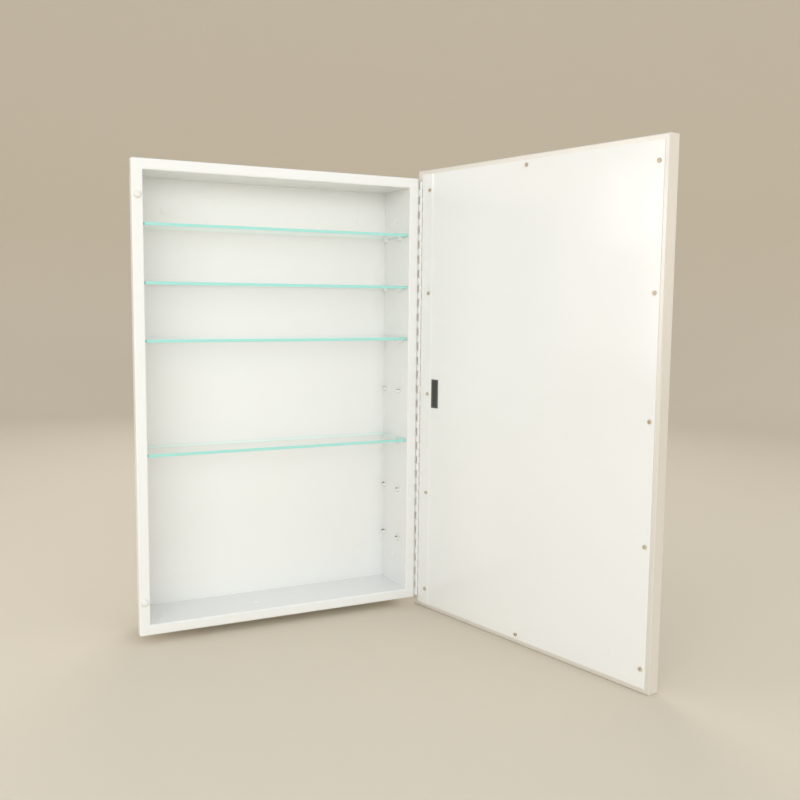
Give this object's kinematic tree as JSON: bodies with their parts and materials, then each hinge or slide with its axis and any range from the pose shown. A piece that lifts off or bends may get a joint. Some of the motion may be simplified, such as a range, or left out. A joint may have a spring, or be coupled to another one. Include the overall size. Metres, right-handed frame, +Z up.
{
  "type": "recessed medicine cabinet",
  "caption": "Recessed steel medicine cabinet with a folded wall flange, loose glass shelves on pressed lugs and a framed mirror door on a full-height piano hinge, shown open.",
  "frame": {"origin": "centre of the wall opening, on the wall plane where the return edge of the box flange seats", "axes": "+X to the right as seen from the room, +Y into the wall, +Z up; the hinge is on the right and the door stands open at rest"},
  "size_m": [0.615, 0.5901, 0.762],
  "materials": {
    "white_enamel": "gloss",
    "shelf_glass": "polished",
    "bumper_rubber": "satin",
    "hinge_steel": "satin",
    "stainless_frame": "polished",
    "mirror": "polished",
    "filler_board": "matte",
    "hardboard": "matte",
    "screw_brass": "satin",
    "dark_plate": "satin"
  },
  "bodies": {
    "cabinet": {"back_panel": "white_enamel", "right_side_wall": "white_enamel", "left_side_wall": "white_enamel", "top_wall": "white_enamel", "bottom_wall": "white_enamel", "upper_bumper": "bumper_rubber", "lower_bumper": "bumper_rubber", "cabinet_hinge_leaf": "white_enamel", "hinge_pin": "hinge_steel"},
    "door": {"door_hinge_leaf": "white_enamel", "door_hinge_rail": "stainless_frame", "door_free_rail": "stainless_frame", "door_top_rail": "stainless_frame", "door_bottom_rail": "stainless_frame", "mirror_glass": "mirror", "corrugated_filler": "filler_board", "backing_board": "hardboard", "door_inner_panel": "white_enamel", "panel_screws": "screw_brass", "label_plate": "dark_plate"},
    "shelf_1": {"shelf_1": "shelf_glass"},
    "shelf_2": {"shelf_2": "shelf_glass"},
    "shelf_3": {"shelf_3": "shelf_glass"},
    "shelf_4": {"shelf_4": "shelf_glass"}
  },
  "joints": [
    {"name": "door_swing", "type": "hinge", "parent": "cabinet", "child": "door", "pos_m": [0.2438, -0.016, 0], "axis": [0, 0, 1], "range_deg": [-102.5, 2]},
    {"name": "shelf_1_lift", "type": "slide", "parent": "cabinet", "child": "shelf_1", "axis": [0, 0, 1], "range_m": [0, 0.075]},
    {"name": "shelf_2_lift", "type": "slide", "parent": "cabinet", "child": "shelf_2", "axis": [0, 0, 1], "range_m": [0, 0.075]},
    {"name": "shelf_3_lift", "type": "slide", "parent": "cabinet", "child": "shelf_3", "axis": [0, 0, 1], "range_m": [0, 0.075]},
    {"name": "shelf_4_lift", "type": "slide", "parent": "cabinet", "child": "shelf_4", "axis": [0, 0, 1], "range_m": [0, 0.075]}
  ]
}
